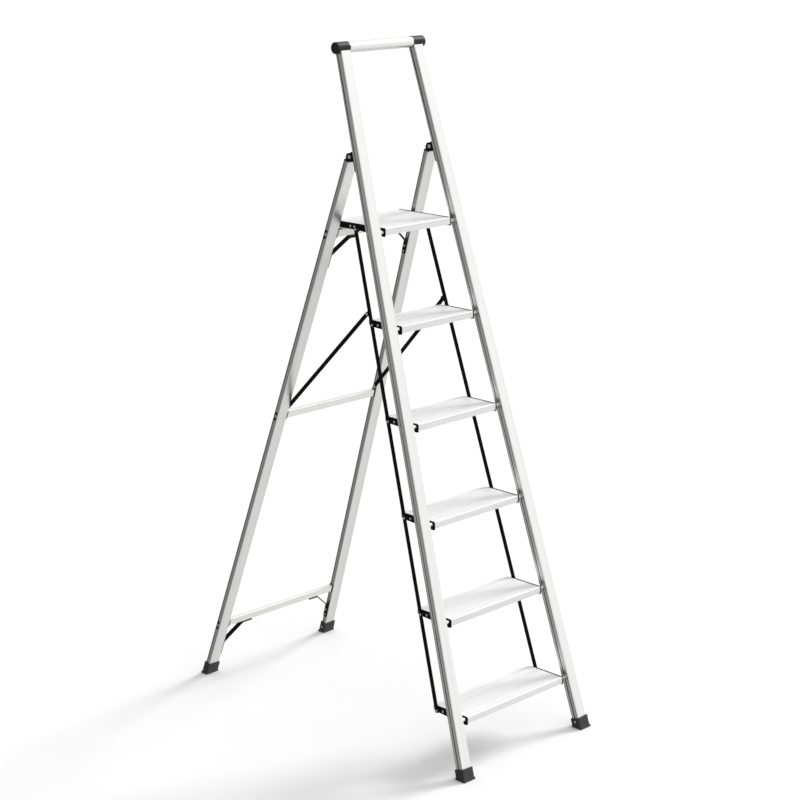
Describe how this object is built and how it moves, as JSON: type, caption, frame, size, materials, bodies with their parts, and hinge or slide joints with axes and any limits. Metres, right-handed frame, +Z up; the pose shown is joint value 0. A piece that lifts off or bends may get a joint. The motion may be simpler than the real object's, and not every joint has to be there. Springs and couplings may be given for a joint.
{
  "type": "step ladder",
  "caption": "Free-standing folding step ladder: leaning front frame with ribbed treads, a platform and a hand bar, braced to a rear frame that folds in as the treads turn up.",
  "frame": {"origin": "floor level under the middle of the open ladder's box", "axes": "+X to the climber's right, +Y from the climber's side to the back, +Z up"},
  "size_m": [0.501, 1.0298, 1.8035],
  "materials": {
    "aluminium": "satin extruded aluminium with fine lengthwise lines",
    "rubber": "matt black rubber",
    "black_plastic": "satin black moulding",
    "black_steel": "satin black coated steel",
    "black_screws": "black oxide screws",
    "rivet_steel": "bright zinc-plated steel"
  },
  "bodies": {
    "front_frame": {"left_front_stile": "aluminium", "right_front_stile": "aluminium", "handle_tube": "aluminium", "left_handle_cap": "black_plastic", "right_handle_cap": "black_plastic", "left_front_foot": "rubber", "right_front_foot": "rubber", "left_hinge_bracket": "black_steel", "right_hinge_bracket": "black_steel", "tread_pivot_pins": "rivet_steel", "tread_spacers": "rivet_steel", "front_rivets": "rivet_steel", "hinge_pins": "rivet_steel"},
    "rear_frame": {"left_rear_leg": "aluminium", "right_rear_leg": "aluminium", "left_rear_leg_cap": "black_plastic", "right_rear_leg_cap": "black_plastic", "left_rear_foot": "rubber", "right_rear_foot": "rubber", "rear_crossbar_bottom": "aluminium", "rear_crossbar_middle": "aluminium", "rear_crossbar_top": "aluminium", "crossbar_plugs": "black_plastic", "crossbar_screws": "black_screws", "left_knee_brace_bottom": "black_steel", "right_knee_brace_bottom": "black_steel", "left_knee_brace_top": "black_steel", "right_knee_brace_top": "black_steel", "rear_rivets": "rivet_steel", "brace_foot_pins": "rivet_steel"},
    "link_bars": {"left_link_bar": "black_steel", "right_link_bar": "black_steel", "link_pins": "rivet_steel"},
    "braces": {"left_brace": "black_steel", "right_brace": "black_steel", "brace_top_rivets": "rivet_steel"},
    "tread_1": {"tread_1": "aluminium", "left_tread_1_bracket": "black_steel", "right_tread_1_bracket": "black_steel", "tread_1_screws": "rivet_steel"},
    "tread_2": {"tread_2": "aluminium", "left_tread_2_bracket": "black_steel", "right_tread_2_bracket": "black_steel", "tread_2_screws": "rivet_steel"},
    "tread_3": {"tread_3": "aluminium", "left_tread_3_bracket": "black_steel", "right_tread_3_bracket": "black_steel", "tread_3_screws": "rivet_steel"},
    "tread_4": {"tread_4": "aluminium", "left_tread_4_bracket": "black_steel", "right_tread_4_bracket": "black_steel", "tread_4_screws": "rivet_steel"},
    "tread_5": {"tread_5": "aluminium", "left_tread_5_bracket": "black_steel", "right_tread_5_bracket": "black_steel", "tread_5_screws": "rivet_steel"},
    "platform": {"platform": "aluminium", "left_platform_bracket": "black_steel", "right_platform_bracket": "black_steel", "platform_screws": "rivet_steel"}
  },
  "joints": [
    {"name": "rear_frame_fold", "type": "hinge", "parent": "front_frame", "child": "rear_frame", "pos_m": [0, -0.01841, 1.521], "axis": [-1, 0, 0], "range_deg": [0, 34.25]},
    {"name": "tread_1_turn", "type": "hinge", "parent": "front_frame", "child": "tread_1", "pos_m": [0, -0.45696, 0.1375], "axis": [1, 0, 0], "range_deg": [0, 68.5]},
    {"name": "tread_2_turn", "type": "hinge", "parent": "front_frame", "child": "tread_2", "pos_m": [0, -0.38527, 0.3775], "axis": [1, 0, 0], "range_deg": [0, 68.5]},
    {"name": "tread_3_turn", "type": "hinge", "parent": "front_frame", "child": "tread_3", "pos_m": [0, -0.31358, 0.6175], "axis": [1, 0, 0], "range_deg": [0, 68.5]},
    {"name": "tread_4_turn", "type": "hinge", "parent": "front_frame", "child": "tread_4", "pos_m": [0, -0.24189, 0.8575], "axis": [1, 0, 0], "range_deg": [0, 68.5]},
    {"name": "tread_5_turn", "type": "hinge", "parent": "front_frame", "child": "tread_5", "pos_m": [0, -0.1702, 1.0975], "axis": [1, 0, 0], "range_deg": [0, 68.5]},
    {"name": "platform_turn", "type": "hinge", "parent": "front_frame", "child": "platform", "pos_m": [0, -0.09941, 1.3345], "axis": [1, 0, 0], "range_deg": [0, 68.5]},
    {"name": "link_bar_turn", "type": "hinge", "parent": "tread_3", "child": "link_bars", "pos_m": [0, -0.22115, 0.61406], "axis": [-1, 0, 0], "range_deg": [0, 68.5]},
    {"name": "brace_turn", "type": "hinge", "parent": "rear_frame", "child": "braces", "pos_m": [0, 0.22423, 0.8227], "axis": [-1, 0, 0], "range_deg": [0, 22.77]}
  ],
  "couplings": [
    {"joint": "tread_1_turn", "follows": "rear_frame_fold", "ratio": 2},
    {"joint": "tread_2_turn", "follows": "rear_frame_fold", "ratio": 2},
    {"joint": "tread_3_turn", "follows": "rear_frame_fold", "ratio": 2},
    {"joint": "tread_4_turn", "follows": "rear_frame_fold", "ratio": 2},
    {"joint": "tread_5_turn", "follows": "rear_frame_fold", "ratio": 2},
    {"joint": "platform_turn", "follows": "rear_frame_fold", "ratio": 2},
    {"joint": "link_bar_turn", "follows": "rear_frame_fold", "ratio": 2},
    {"joint": "brace_turn", "follows": "rear_frame_fold", "ratio": 0.66492}
  ]
}
